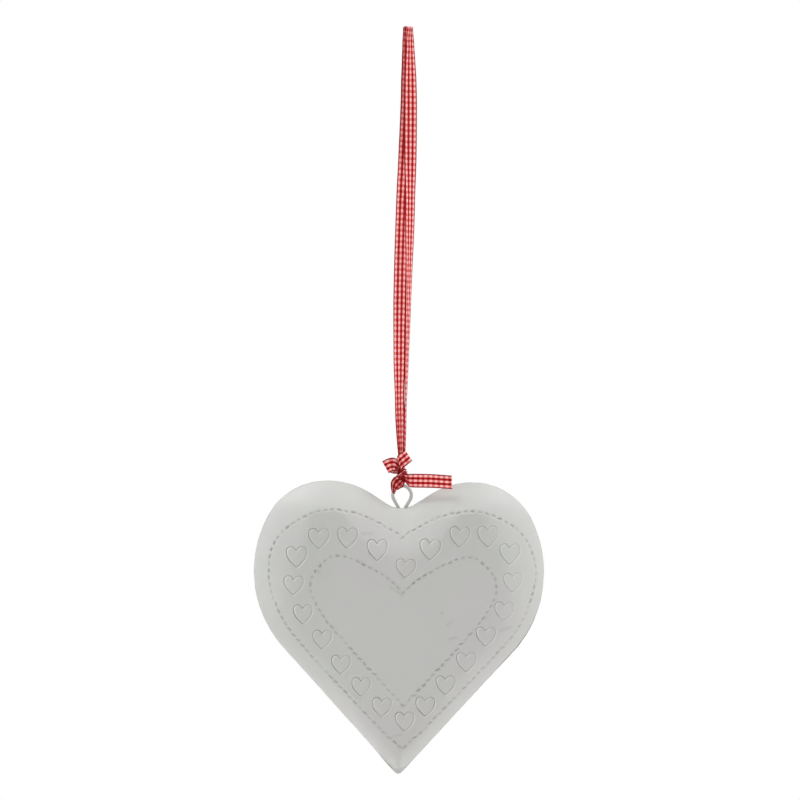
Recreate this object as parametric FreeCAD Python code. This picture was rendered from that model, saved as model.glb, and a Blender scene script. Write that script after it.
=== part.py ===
import FreeCAD, Part
import math
import os

os.makedirs("parts", exist_ok=True)
Vector = FreeCAD.Vector

# A hollow tin heart hung on a gingham ribbon, in millimetres.
# X runs to the right, Z up, and the front of the heart faces -Y.
# The origin is the point where the ribbon loop rests on its hook.

# Heart outline, right half, walked from the cleft over the lobe to the tip
cleft_radius = 12.0
cleft_turn = 33.0
flank_length = 7.8
lobe_radius = 35.6
shoulder_radius = 29.5
shoulder_turn = 61.8
side_radius = 51.5
side_turn = 70.5
tip_radius = 1.8

# Pressed sheet shells
sheet = 0.45
shell_depth = 13.0
flange_depth = 2.2
seam_width = 0.6
seam_rise = 0.15
lap_gap = 0.1
lap_reach = 1.7
joggle_reach = 1.6
dome_centre_drop = 42.0
crown_share = 0.58
dome_rings = 6
hollow_step = 12.0

# Wire eye
wire_diameter = 1.5
eye_outer_diameter = 9.8
eye_height = 6.1
eye_taper = 29.7
leg_bend_radius = 1.9
leg_length = 4.2
leg_clearance = 0.15
wire_hole_gap = 0.25
bend_step = 24.0
solder_radius = 2.7
solder_height = 1.1
solder_shoulder_share = 0.75
solder_crown_share = 0.3

# Gingham ribbon
ribbon_width = 6.0
ribbon_thickness = 0.35
hook_radius = 1.4
hook_yaw = 35.0
loop_drop = 186.7
strand_end_length = 10.0
knot_height = 6.3
knot_end_radius = 1.9
knot_belly_radius = 2.3
wrap_radius = 2.6
wrap_width = 2.8
wrap_tilt = 35.0
turn_start = 80.0
turn_sweep = 83.0
turn_sides = 10
turn_spans = 5
turn_gap = 0.25
soft_gap = 0.3
overrun = 1.0

# Heights, chained down from the hook
loop_end_z = -loop_drop
strand_top_z = loop_end_z - soft_gap
knot_top_z = strand_top_z - strand_end_length
knot_mid_z = knot_top_z - knot_height / 2
knot_bottom_z = knot_top_z - knot_height
wire_radius = wire_diameter / 2
eye_radius = eye_outer_diameter / 2 - wire_radius
turn_outer_radius = wire_radius + turn_gap + ribbon_thickness
wire_top_z = knot_bottom_z - soft_gap - turn_outer_radius
eye_centre_z = wire_top_z - eye_radius
cleft_z = eye_centre_z - eye_height
dome_centre = Vector(0, 0, cleft_z - dome_centre_drop)
eye_centre = Vector(0, 0, eye_centre_z)
seam_half = seam_width / 2
tip_turn = 180 - shoulder_turn - side_turn


# Paths of straight runs and tangent arcs in the XZ plane

class Walk:
    """A pen that draws straight runs and arcs, and notes its places and headings in degrees."""

    def __init__(self, x, z, heading, step):
        self.place = Vector(x, 0, z)
        self.step = step
        self.heading = heading
        self.edges = []
        self.stops = [(self.place, heading)]

    def ahead(self, degrees=0.0):
        angle = math.radians(self.heading + degrees)
        return Vector(math.cos(angle), 0, math.sin(angle))

    def straight(self, length):
        end = self.place + self.ahead() * length
        self.edges.append(Part.LineSegment(self.place, end).toShape())
        self.place = end
        self.stops.append((end, self.heading))

    def arc(self, radius, turn):
        side = math.copysign(90, turn)
        centre = self.place + self.ahead(side) * radius
        steps = math.ceil(abs(turn) / self.step)
        for step in range(1, steps + 1):
            part_turn = turn * step / steps
            self.stops.append((centre - self.ahead(side + part_turn) * radius, self.heading + part_turn))
        middle = centre - self.ahead(side + turn / 2) * radius
        end = self.stops[-1][0]
        self.edges.append(Part.Arc(self.place, middle, end).toShape())
        self.place = end
        self.heading += turn


def mirrored(edges):
    return [edge.mirror(Vector(0, 0, 0), Vector(1, 0, 0)) for edge in edges]


def both_halves(edges):
    """The wire that a right half makes with its mirror image."""
    return Part.Wire(Part.__sortEdges__(mirrored(edges) + edges))


# Heart outline

def outline_start(inset):
    pen = Walk(0, cleft_z - inset, 0, hollow_step)
    pen.arc(cleft_radius + inset, cleft_turn)
    pen.straight(flank_length)
    pen.arc(lobe_radius - inset, -cleft_turn)
    pen.arc(shoulder_radius - inset, -shoulder_turn)
    pen.arc(side_radius - inset, -side_turn)
    return pen


def side_length():
    """The straight side that brings the round tip onto the centre line."""
    pen = outline_start(0)
    tip_centre = pen.place + pen.ahead(-90) * tip_radius
    return -tip_centre.x / pen.ahead().x


def half_outline(inset):
    pen = outline_start(inset)
    pen.straight(side_length())
    pen.arc(tip_radius - inset, -tip_turn)
    return pen


def heart_outline(inset=0.0):
    """The whole outline, moved inwards by the inset."""
    return both_halves(half_outline(inset).edges)


def hollow_outline(inset):
    """The same outline in short flats, as the inside of the pressed sheet has it."""
    right = [place for place, heading in half_outline(inset).stops]
    left = [Vector(-place.x, 0, place.z) for place in reversed(right[1:-1])]
    return Part.makePolygon(right + left + right[:1])


def plate(outline, from_y, to_y):
    face = Part.Face(outline)
    face.translate(Vector(0, from_y, 0))
    return face.extrude(Vector(0, to_y - from_y, 0))


def heart_plate(inset, from_y, to_y):
    return plate(heart_outline(inset), from_y, to_y)


# Shells

def dome(outline, depth, start_y):
    """A flanged pillow towards -Y: a straight wall, then outlines that shrink on a quarter ellipse."""
    sections = []
    for ring in range(dome_rings + 1):
        angle = math.pi / 2 * ring / dome_rings
        section = outline.scaled(crown_share + (1 - crown_share) * math.cos(angle), dome_centre)
        section.translate(Vector(0, -flange_depth - (depth - flange_depth) * math.sin(angle), 0))
        sections.append(section)
    pillow = Part.makeLoft(sections, True, True)
    return plate(outline, start_y, -flange_depth).fuse(pillow).removeSplitter()


def front_half():
    outside = dome(heart_outline(), shell_depth, -seam_half)
    inside = dome(hollow_outline(sheet), shell_depth - sheet, 0)
    return outside, outside.cut(inside)


def turned_over(shape):
    return shape.mirror(Vector(0, 0, 0), Vector(0, 1, 0))


def lap_skirt():
    """The joggled edge of the back shell that slides inside the front one."""
    skirt_inset = sheet + lap_gap
    front_y = -seam_half - lap_reach
    back_y = seam_half + joggle_reach
    skirt = plate(hollow_outline(skirt_inset), front_y, back_y)
    step = plate(hollow_outline(sheet), seam_half, back_y)
    hollow = plate(hollow_outline(skirt_inset + sheet), front_y - overrun, back_y + overrun)
    return skirt.fuse(step).cut(hollow)


# Wire eye

def eye_leg():
    """Half of the wire's path: round the eye, down to the cleft and out under the flank."""
    pen = Walk(0, wire_top_z, 0, bend_step)
    pen.arc(eye_radius, -90 - eye_taper)
    seat_inset = sheet + lap_gap + sheet + leg_clearance + wire_radius
    flank = Walk(0, cleft_z - seat_inset, 0, bend_step)
    flank.arc(cleft_radius + seat_inset, cleft_turn)
    across = flank.ahead(90)
    bend_centre = pen.place + pen.ahead(90) * leg_bend_radius
    short_by = leg_bend_radius - (bend_centre - flank.place).dot(across)
    pen.straight(short_by / pen.ahead().dot(across))
    pen.arc(leg_bend_radius, cleft_turn - pen.heading)
    pen.straight(leg_length)
    return pen.stops


def wire_eye():
    """A round wire from the end of the left leg to the end of the right one."""
    right = eye_leg()
    left = [(Vector(-place.x, 0, place.z), -heading) for place, heading in reversed(right[1:])]
    hoops = []
    for place, heading in left + right:
        hoop = Part.makeCircle(wire_radius, Vector(0, 0, 0), Vector(1, 0, 0))
        hoop.rotate(Vector(0, 0, 0), Vector(0, 1, 0), -heading)
        hoop.translate(place)
        hoops.append(Part.Wire(hoop))
    return Part.makeLoft(hoops, True, True)


def leg_holes():
    """Upright holes through the cleft's wall where the legs pass."""
    waist = min(place.x for place, heading in eye_leg() if place.z < cleft_z + leg_bend_radius)
    height = 2 * solder_height + 2 * overrun
    holes = []
    for x in (-waist, waist):
        foot = Vector(x, 0, cleft_z - height / 2)
        holes.append(Part.makeCylinder(wire_radius + wire_hole_gap, height, foot))
    return Part.makeCompound(holes)


def lathe(corners):
    """A solid turned about the vertical from (radius, z) corners, closed along the axis."""
    outline = [Vector(radius, 0, z) for radius, z in corners]
    axis = [Vector(0, 0, outline[-1].z), Vector(0, 0, outline[0].z)]
    face = Part.Face(Part.makePolygon(outline + axis + outline[:1]))
    return face.revolve(Vector(0, 0, 0), Vector(0, 0, 1), 360)


def eye_solder(heart_block, holes):
    """A low mound on the floor of the cleft that holds both legs."""
    foot = (solder_radius, cleft_z - solder_height)
    shoulder = (solder_radius * solder_shoulder_share, cleft_z + solder_height * solder_shoulder_share)
    crown = (solder_radius * solder_crown_share, cleft_z + solder_height)
    return lathe([foot, shoulder, crown]).cut(heart_block).cut(holes)


# Ribbon

def cross_section(centre, across, normal, width):
    """The ribbon's flat section, as a closed wire."""
    half_width = across.normalize() * (width / 2)
    half_thickness = normal.normalize() * (ribbon_thickness / 2)
    corners = [centre - half_width - half_thickness, centre + half_width - half_thickness,
               centre + half_width + half_thickness, centre - half_width + half_thickness]
    return Part.makePolygon(corners + corners[:1])


def yawed(degrees):
    """Width direction and normal of a hanging strand turned about the vertical."""
    angle = math.radians(degrees)
    return Vector(math.cos(angle), math.sin(angle), 0), Vector(-math.sin(angle), math.cos(angle), 0)


def strand(places):
    """A hanging, twisting strip through (x, y, z, yaw, width) places."""
    sections = []
    for x, y, z, yaw, width in places:
        across, normal = yawed(yaw)
        sections.append(cross_section(Vector(x, y, z), across, normal, width))
    return Part.makeLoft(sections, True, True)


# Drop, side and depth as shares of the loop's drop and the ribbon's width, and the yaw
front_strand_shares = [(0.175, 0.277, -0.2, 22), (0.318, 0.3, -0.2, 27), (0.414, 0.333, -0.17, 45),
                       (0.654, 0.3, 0, 68), (0.892, 0.2, 0, 80), (1, 0.17, 0, 82)]
back_strand_shares = [(0.175, 0.03, 0.25, 35), (0.318, -0.1, 0.25, 25), (0.414, -0.25, 0.2, 15),
                      (0.654, -0.383, 0.1, 0), (0.892, -0.317, 0, -42), (1, -0.25, 0, -60)]


def strand_places(shares):
    return [(side * ribbon_width, depth * ribbon_width, -drop * loop_drop, yaw, ribbon_width)
            for drop, side, depth, yaw in shares]


def hanging_loop():
    """Up one strand, over the hook and down the other."""
    across, normal = yawed(hook_yaw)
    hook = Vector(0, 0, -hook_radius)
    fold_radius = hook_radius + ribbon_thickness / 2
    strands = []
    for shares, side in ((front_strand_shares, -1), (back_strand_shares, 1)):
        top = hook + normal * (side * fold_radius)
        strands.append(strand([(top.x, top.y, top.z, hook_yaw, ribbon_width)] + strand_places(shares)))
    end = Part.Face(cross_section(hook - normal * fold_radius, across, normal, ribbon_width))
    fold = end.revolve(hook, across, -180)
    return fold.fuse(strands).removeSplitter()


def loop_length():
    """The route over the hook and down both strands, through the middles of their places."""
    length = math.pi * (hook_radius + ribbon_thickness / 2)
    _, normal = yawed(hook_yaw)
    for shares, side in ((front_strand_shares, -1), (back_strand_shares, 1)):
        here = Vector(0, 0, -hook_radius) + normal * (side * (hook_radius + ribbon_thickness / 2))
        for x, y, z, yaw, width in strand_places(shares):
            length += (Vector(x, y, z) - here).Length
            here = Vector(x, y, z)
    return length


gathered_share = 0.55
front_end_shares = (0.07, 0.0, 82)
back_end_shares = (-0.08, 0.0, -70)


def strand_ends():
    """The last of both strands, gathered to the top of the knot."""
    pairs = ((front_strand_shares, front_end_shares), (back_strand_shares, back_end_shares))
    ends = []
    for shares, (side, depth, yaw) in pairs:
        x, y, z, top_yaw, width = strand_places(shares)[-1]
        top = (x, y, strand_top_z, top_yaw, width)
        bottom = (side * ribbon_width, depth * ribbon_width, knot_top_z, yaw, width * gathered_share)
        ends.append(strand([top, bottom]))
    return Part.makeCompound(ends)


def knot():
    """A barrel of crossed turns and the slanting band that binds it."""
    belly = (knot_belly_radius, knot_mid_z)
    barrel = lathe([(knot_end_radius, knot_top_z), belly, (knot_end_radius, knot_bottom_z)])
    half = wrap_width / 2
    wrap = lathe([(wrap_radius, knot_mid_z + half), (wrap_radius, knot_mid_z - half)])
    wrap.rotate(Vector(0, 0, knot_mid_z), Vector(0, 1, 0), wrap_tilt)
    return barrel.fuse(wrap).removeSplitter()


def sleeve(radius, sweep_from, sweep_to):
    """A many-sided tube along the eye's arc, with flats that clear a round of the radius."""
    corner_radius = radius / math.cos(math.pi / turn_sides)
    sections = []
    for place in range(turn_spans + 1):
        angle = math.radians(sweep_from + (sweep_to - sweep_from) * place / turn_spans)
        out = Vector(math.cos(angle), 0, math.sin(angle))
        corners = []
        for side in range(turn_sides):
            around = 2 * math.pi * side / turn_sides
            reach = out * (eye_radius + corner_radius * math.cos(around))
            corners.append(eye_centre + reach + Vector(0, corner_radius * math.sin(around), 0))
        sections.append(Part.makePolygon(corners + corners[:1]))
    return Part.makeLoft(sections, True, True)


def eye_turn():
    """The ribbon's turn round the wire, on the upper left of the eye."""
    past = turn_sweep / turn_spans
    bore = sleeve(wire_radius + turn_gap, turn_start - past, turn_start + turn_sweep + past)
    return sleeve(turn_outer_radius, turn_start, turn_start + turn_sweep).cut(bore)


def strip(places):
    """A free strip through (x, y, z, lean, yaw, width) places, measured from the knot's middle in
    ribbon widths. Lean tips the top of the width to the left and yaw turns the run from right to back."""
    sections = []
    for x, y, z, lean, yaw, width in places:
        centre = Vector(0, 0, knot_mid_z) + Vector(x, y, z) * ribbon_width
        tip = math.radians(lean)
        turn = math.radians(yaw)
        across = Vector(-math.sin(tip), 0, math.cos(tip))
        level = Vector(math.cos(tip), 0, math.sin(tip))
        normal = Vector(0, 1, 0) * math.cos(turn) - level * math.sin(turn)
        sections.append(cross_section(centre, across, normal, width * ribbon_width))
    return Part.makeLoft(sections, True, True)


# x, y and z as shares of the ribbon's width, lean, yaw, and the width's own share
bow_front_shares = [(-0.18, -0.38, 0.4, 5, 180, 0.5), (-0.55, -0.55, 0.72, 12, 180, 0.85),
                    (-1.1, -0.62, 0.72, 20, 180, 1)]
bow_back_shares = [(-1.1, -0.34, 0.7, 20, 0, 1), (-0.55, -0.3, 0.6, 12, 0, 0.85),
                   (-0.18, -0.28, 0.3, 5, 0, 0.5)]
bow_fold_turns = [30, 60, 90, 120, 150]
short_tail_shares = [(-0.08, -0.48, 0.35, 38, 0, 0.5), (-0.18, -0.8, 0.92, 38, 0, 0.9),
                     (0.473, -0.84, 1.525, 32, 0, 0.95)]
long_tail_shares = [(0.3, -0.27, -0.22, 0, -45, 0.45), (0.6, -0.5, -0.41, 0, -34, 0.9),
                    (1, -0.78, -0.42, 0, -30, 1), (2.2, -1.4, -0.43, 0, -22, 1),
                    (3.7, -1.84, -0.475, 3, -15, 1)]


def bow_loop():
    """Out from the knot in front, round a soft fold and back behind."""
    x, front_y, z, lean, front_yaw, width = bow_front_shares[-1]
    back_y = bow_back_shares[0][1]
    middle_y = (front_y + back_y) / 2
    fold_radius = (back_y - front_y) / 2
    fold = []
    for turn in bow_fold_turns:
        angle = math.radians(turn)
        out = fold_radius * math.sin(angle)
        drop = out * math.sin(math.radians(lean))
        y = middle_y - fold_radius * math.cos(angle)
        fold.append((x - out, y, z - drop, lean, front_yaw - turn, width))
    return strip(bow_front_shares + fold + bow_back_shares)


def export(name, shape):
    solids = shape.Solids
    print(name, "solids", len(solids), "valid", shape.isValid(), "volume", round(shape.Volume, 2))
    shape.exportStep("parts/" + name + ".step")


outside, front_shell = front_half()
back_shell = turned_over(front_shell).fuse(lap_skirt()).removeSplitter()
heart_block = outside.fuse([turned_over(outside), heart_plate(0.0, -seam_half, seam_half)])
holes = leg_holes()
bead = heart_plate(-seam_rise, -seam_half, seam_half)
seam = bead.cut(heart_plate(sheet, -seam_half - overrun, seam_half + overrun))
solder_gap = Part.makeBox(2 * solder_radius, 2 * overrun, 2 * solder_height + 2 * overrun,
                          Vector(-solder_radius, -overrun, cleft_z - solder_height - overrun))
loop = hanging_loop()
knot_solid = knot()

export("front_shell", front_shell.cut(holes))
export("back_shell", back_shell.cut(holes))
export("seam_solder", seam.cut(solder_gap))
export("wire_eye", wire_eye())
export("eye_solder", eye_solder(heart_block, holes))
export("hanging_loop", loop)
export("strand_ends", strand_ends())
export("knot", knot_solid)
export("bow_loop", bow_loop().cut(knot_solid))
export("short_tail", strip(short_tail_shares).cut(knot_solid))
export("long_tail", strip(long_tail_shares).cut(knot_solid))
export("eye_turn", eye_turn())

# The ribbon's bends and its length, from its volume and its section
print("bend over the hook, inner and outer radius", hook_radius, hook_radius + ribbon_thickness)
print("turn on the wire, inner and outer radius", wire_radius + turn_gap, turn_outer_radius)
length_by_volume = loop.Volume / (ribbon_width * ribbon_thickness)
print("loop length by volume", round(length_by_volume, 1), "by route", round(loop_length(), 1))
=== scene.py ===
import math
import random

import bmesh
import bpy
from mathutils import Matrix, Vector, kdtree, noise
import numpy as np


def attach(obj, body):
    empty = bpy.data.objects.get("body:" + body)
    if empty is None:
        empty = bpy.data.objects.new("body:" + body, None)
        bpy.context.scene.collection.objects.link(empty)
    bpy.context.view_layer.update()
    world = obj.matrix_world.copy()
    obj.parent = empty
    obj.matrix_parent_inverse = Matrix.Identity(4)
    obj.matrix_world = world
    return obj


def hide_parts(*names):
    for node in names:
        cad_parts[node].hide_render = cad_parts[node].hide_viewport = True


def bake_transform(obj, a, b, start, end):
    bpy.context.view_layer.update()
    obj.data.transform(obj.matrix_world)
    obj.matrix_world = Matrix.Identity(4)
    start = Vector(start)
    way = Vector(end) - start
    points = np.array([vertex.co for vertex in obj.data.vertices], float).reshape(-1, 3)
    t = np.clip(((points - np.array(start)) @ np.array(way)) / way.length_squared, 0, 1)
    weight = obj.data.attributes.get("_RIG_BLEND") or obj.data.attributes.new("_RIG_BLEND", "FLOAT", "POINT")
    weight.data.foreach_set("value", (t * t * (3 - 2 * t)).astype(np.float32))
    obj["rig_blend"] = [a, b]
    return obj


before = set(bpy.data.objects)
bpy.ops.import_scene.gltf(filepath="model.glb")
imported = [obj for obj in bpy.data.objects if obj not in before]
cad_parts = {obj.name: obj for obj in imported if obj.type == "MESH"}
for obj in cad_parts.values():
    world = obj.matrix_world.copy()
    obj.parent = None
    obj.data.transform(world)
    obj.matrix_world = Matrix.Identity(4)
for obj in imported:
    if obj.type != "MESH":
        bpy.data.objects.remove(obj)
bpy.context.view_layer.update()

mm = 0.001
random.seed(11)
scene = bpy.context.scene
print("stage: frame loaded")


# Camera, square on to the front of the heart
cameraSetup = {
    "distance": 2.5,
    "frameWidth": 0.35739,
    "sensor": 36.0,
    "lean": 0.7306,  # the hung object leans this many degrees in the frame
    "aim": (-0.00145, 0.0, -0.16667),
}


def placeCamera(setup):
    data = bpy.data.cameras.new("camera")
    data.sensor_width = setup["sensor"]
    data.lens = setup["sensor"] * setup["distance"] / setup["frameWidth"]
    data.clip_end = 100.0
    camera = bpy.data.objects.new("camera", data)
    scene.collection.objects.link(camera)
    camera.location = Vector(setup["aim"]) + Vector((0, -setup["distance"], 0))
    camera.rotation_euler = (math.radians(90), -math.radians(setup["lean"]), 0)
    scene.camera = camera


placeCamera(cameraSetup)
print("stage: camera")


# Shader building: sums on a Value add Math nodes
class Value:
    def __init__(self, paint, socket):
        self.paint = paint
        self.socket = socket

    def maths(self, operation, *others):
        inputs = {0: self}
        for place, other in enumerate(others, 1):
            inputs[place] = other
        return self.paint.node("ShaderNodeMath", {"operation": operation}, inputs)

    def __add__(self, other):
        return self.maths("ADD", other)

    def __sub__(self, other):
        return self.maths("SUBTRACT", other)

    def __mul__(self, other):
        return self.maths("MULTIPLY", other)

    def __rsub__(self, other):
        return self.maths("MULTIPLY", -1.0) + other

    __radd__ = __add__
    __rmul__ = __mul__

    def clamped(self):
        return self.maths("MAXIMUM", 0.0).maths("MINIMUM", 1.0)

    def sine(self):
        return self.maths("SINE")


class Paint:
    def __init__(self, name):
        self.material = bpy.data.materials.new(name)
        self.material.use_nodes = True
        self.tree = self.material.node_tree
        self.shader = self.tree.nodes["Principled BSDF"]

    def node(self, kind, settings=None, inputs=None, output=0):
        made = self.tree.nodes.new(kind)
        for key, setting in (settings or {}).items():
            if key == "stops":
                self.setStops(made.color_ramp, setting)
            else:
                setattr(made, key, setting)
        for key, given in (inputs or {}).items():
            self.feed(made.inputs[key], given)
        return Value(self, made.outputs[output])

    def setStops(self, ramp, stops):
        while len(ramp.elements) < len(stops):
            ramp.elements.new(0.5)
        for element, (position, colour) in zip(ramp.elements, stops):
            element.position = position
            element.color = (*colour, 1.0)

    def feed(self, socket, given):
        if isinstance(given, Value):
            self.tree.links.new(given.socket, socket)
        elif isinstance(given, tuple) and len(given) == 3 and socket.type == "RGBA":
            socket.default_value = (*given, 1.0)
        else:
            socket.default_value = given

    def finish(self, **inputs):
        for name, given in inputs.items():
            self.feed(self.shader.inputs[name.replace("_", " ")], given)
        return self.material

    def place(self):
        return self.node("ShaderNodeTexCoord", output="Object")

    def attribute(self, name):
        return self.node("ShaderNodeAttribute", {"attribute_name": name}, output="Fac")

    def bump(self, strength, distance, height, **others):
        inputs = {"Strength": strength, "Distance": distance, "Height": height, **others}
        return self.node("ShaderNodeBump", {}, inputs)

    def noise(self, where, scale, detail=2.0, roughness=0.5):
        inputs = {"Vector": where, "Scale": scale, "Detail": detail, "Roughness": roughness}
        return self.node("ShaderNodeTexNoise", {}, inputs)

    def mix(self, factor, first, second):
        settings = {"data_type": "RGBA", "clamp_factor": True}
        return self.node("ShaderNodeMix", settings, {0: factor, 6: first, 7: second}, 2)


# Satin off-white paint over tin, with painted shade in the grooves and a painted highlight on the lips
# beside them
paintFinish = {
    "colour": (0.478, 0.485, 0.468),
    "warm": (0.492, 0.477, 0.474),
    "shade": (0.444, 0.449, 0.434),
    "shadeShares": (0.35, 0.5, 0.1),  # from the patches, from the brush marks, and everywhere
    "groove": (0.25, 0.25, 0.235),
    "grooveStrength": 0.6,
    "grooveUneven": 2.6,
    "paintedHighlight": (0.72, 0.725, 0.71),
    "roughness": 0.58,
    "roughnessShares": (0.18, 0.12),  # from the patches and from the brush marks
    "patchScale": 22.0,
    "hueScaleShare": 0.8,
    "grainScale": 900.0,
    "grainDepth": 0.00002,
    "grainBump": 0.6,
    "brushScale": 240.0,
    "brushDepth": 0.00006,
    "brushBump": 0.5,
}


def paintedTin(name, finish):
    paint = Paint(name)
    place = paint.place()
    patches = paint.noise(place, finish["patchScale"], 3.0)
    brushed = paint.noise(place, finish["brushScale"], 4.0, 0.6)
    grain = paint.noise(place, finish["grainScale"], 2.0)
    press = paint.attribute("press")
    wear = ((patches - 0.42) * 3.0).clamped()
    hueNoise = paint.noise(place, finish["patchScale"] * finish["hueScaleShare"], 1.0)
    base = paint.mix(((hueNoise - 0.45) * 5.0).clamped(), finish["colour"], finish["warm"])
    byPatch, byBrush, overall = finish["shadeShares"]
    colour = paint.mix(wear * byPatch + (brushed - 0.5) * byBrush + overall, base, finish["shade"])
    uneven = ((brushed - 0.5) * finish["grooveUneven"] + 0.95).clamped()
    # painted shade: grooves and the seam are darkened where their mark is above zero
    paintedShade = (press * uneven * finish["grooveStrength"]).clamped()
    colour = paint.mix(paintedShade, colour, finish["groove"])
    # painted highlight where the mark is below zero, on one lip of the small hearts' grooves
    colour = paint.mix((press * -1.0).clamped(), colour, finish["paintedHighlight"])
    byPatch, byBrush = finish["roughnessShares"]
    roughness = (patches - 0.5) * byPatch + (brushed - 0.5) * byBrush + finish["roughness"]
    soft = paint.bump(finish["brushBump"], finish["brushDepth"], brushed)
    bump = paint.bump(finish["grainBump"], finish["grainDepth"], grain, Normal=soft)
    return paint.finish(Base_Color=colour, Roughness=roughness, Normal=bump)


# Red and white gingham: U is millimetres across the ribbon, V millimetres along it
ginghamFinish = {
    "width": 6.0,
    "stripe": 2.0,
    "band": 2.5,
    "contrast": 2.4,
    "lengthwise": 0.66,  # share of the stripes in the red, against the bands
    "waver": 0.5,
    "selvage": 0.4,
    "stops": [(0.06, (1.0, 0.61, 0.595)), (0.35, (0.95, 0.25, 0.24)),
              (0.64, (0.58, 0.017, 0.019)), (0.94, (0.29, 0.003, 0.005))],
    "edge": (0.22, 0.005, 0.009),
    "edgeStrength": 0.92,
    # painted shade in the valleys of the folds
    "tuck": (0.15, 0.001, 0.003),
    "foldShadeStrength": 0.75,
    "foldShadeRedness": 0.42,
    "weaveShare": 0.06,
    "fuzzShare": 0.1,
    "fuzzScale": 2600.0,
    "thread": 0.26,
    "threadDepth": 0.00006,
    "threadBump": 0.7,
    "roughness": 0.72,
    "sockets": {"Subsurface Weight": 0.2, "Subsurface Radius": (1.0, 0.3, 0.25),
                "Subsurface Scale": 0.0005, "Sheen Weight": 0.05, "Sheen Roughness": 0.5,
                "Specular IOR Level": 0.08},
}


def gingham(name, finish):
    paint = Paint(name)
    uv = paint.node("ShaderNodeUVMap", {"uv_map": "ribbon"})
    across = paint.node("ShaderNodeSeparateXYZ", {}, {0: uv}, "X")
    along = paint.node("ShaderNodeSeparateXYZ", {}, {0: uv}, "Y")
    place = paint.place()
    waver = (paint.noise(place, 350.0, 2.0) - 0.5) * finish["waver"]
    turn, half = 2 * math.pi, finish["width"] / 2
    stripes = ((across - half + waver * 0.3) * (turn / finish["stripe"])).maths("COSINE")
    bands = ((along + waver) * (turn / finish["band"])).sine()
    lead, contrast = finish["lengthwise"], finish["contrast"]
    red = (0.6 - stripes * contrast).clamped() * lead + (0.5 + bands * contrast).clamped() * (1 - lead)
    warp = (across * (turn / finish["thread"])).sine()
    weft = (along * (turn / finish["thread"])).sine()
    weave = warp * weft
    fuzz = paint.noise(place, finish["fuzzScale"], 2.0)
    # fold valleys are painted darker and redder: painted shade, and partly the red checks drawn together
    tuck = paint.attribute("tuck")
    amount = red * 0.9 + weave * finish["weaveShare"] + (fuzz - 0.5) * finish["fuzzShare"]
    amount = amount + tuck * finish["foldShadeRedness"] + 0.09
    checks = paint.node("ShaderNodeValToRGB", {"stops": finish["stops"]}, {0: amount})
    fromEdge = (across - half).maths("ABSOLUTE")
    edge = ((fromEdge - (half - finish["selvage"])) * 8.0).clamped()
    colour = paint.mix(edge * finish["edgeStrength"], checks, finish["edge"])
    colour = paint.mix((tuck * finish["foldShadeStrength"]).clamped(), colour, finish["tuck"])
    height = weave + (fuzz - 0.5) * 0.8
    bump = paint.bump(finish["threadBump"], finish["threadDepth"], height)
    roughness = finish["roughness"] + (fuzz - 0.5) * 0.2
    for socket, given in finish["sockets"].items():
        paint.shader.inputs[socket].default_value = given
    return paint.finish(Base_Color=colour, Roughness=roughness, Normal=bump)


tinPaint = paintedTin("tinPaint", paintFinish)
wirePaint = paintedTin("wirePaint", {
    **paintFinish, "colour": (0.485, 0.49, 0.465), "patchScale": 90.0})
# the solder's groove colour paints the shade along the seam
solderPaint = paintedTin("solderPaint", {
    **paintFinish, "colour": (0.47, 0.475, 0.45), "patchScale": 140.0, "groove": (0.13, 0.13, 0.12),
    "grooveStrength": 0.9, "brushDepth": 0.0002, "brushScale": 420.0})
ribbonCloth = gingham("ribbonCloth", ginghamFinish)
print("stage: materials")


def makePiece(name, bm, material, body, nodes):
    # drawn in millimetres, kept in metres
    bmesh.ops.scale(bm, vec=(mm, mm, mm), verts=bm.verts)
    mesh = bpy.data.meshes.new(name)
    bm.to_mesh(mesh)
    bm.free()
    mesh.shade_smooth()
    mesh.materials.append(material)
    piece = bpy.data.objects.new(name, mesh)
    scene.collection.objects.link(piece)
    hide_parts(*nodes)
    if body:
        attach(piece, body)
    return piece


def extrudeEdges(bm, edges):
    # the new vertices and the new edges that run on from the old ones
    made = bmesh.ops.extrude_edge_only(bm, edges=edges)["geom"]
    verts = [item for item in made if isinstance(item, bmesh.types.BMVert)]
    fresh = set(verts)
    return verts, [item for item in made if isinstance(item, bmesh.types.BMEdge)
                   and item.verts[0] in fresh and item.verts[1] in fresh]


def spinOn(bm, geom, centre, turn, steps):
    # an arc in the plane of the heart; gives the geometry at its end
    return bmesh.ops.spin(bm, geom=geom, cent=centre, axis=(0, -1, 0), dvec=(0, 0, 0),
                          angle=math.radians(turn), steps=steps, use_merge=False,
                          use_normal_flip=False, use_duplicate=False)["geom_last"]


def held(value):
    return min(max(value, 0), 1)


def headed(degrees):
    # a direction in the plane of the heart
    angle = math.radians(degrees)
    return Vector((math.cos(angle), 0, math.sin(angle)))


def alongAt(places, number):
    # the direction of a line at one of its places
    here = places[max(number - 1, 0)]
    there = places[min(number + 1, len(places) - 1)]
    return (there - here).normalized()


def spacedOut(places, step):
    # places of even spacing on a line
    spaced, due, walked = [places[0]], step, 0.0
    for here, there in zip(places, places[1:]):
        run = (there - here).length
        while run and due <= walked + run:
            spaced.append(here.lerp(there, (due - walked) / run))
            due += step
        walked += run
    return spaced


# Ribbon strips: each row is a place along the ribbon, with its width direction and its gathers
clothForm = {
    "width": 6.0,
    "thickness": 0.26,
    "columns": 14,
    "foldCount": 2.5,
    "foldPhase": 0.6,
    "step": 0.45,
    "fray": 0.32,
    "foldShadeScale": 2.6,
}


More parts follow.
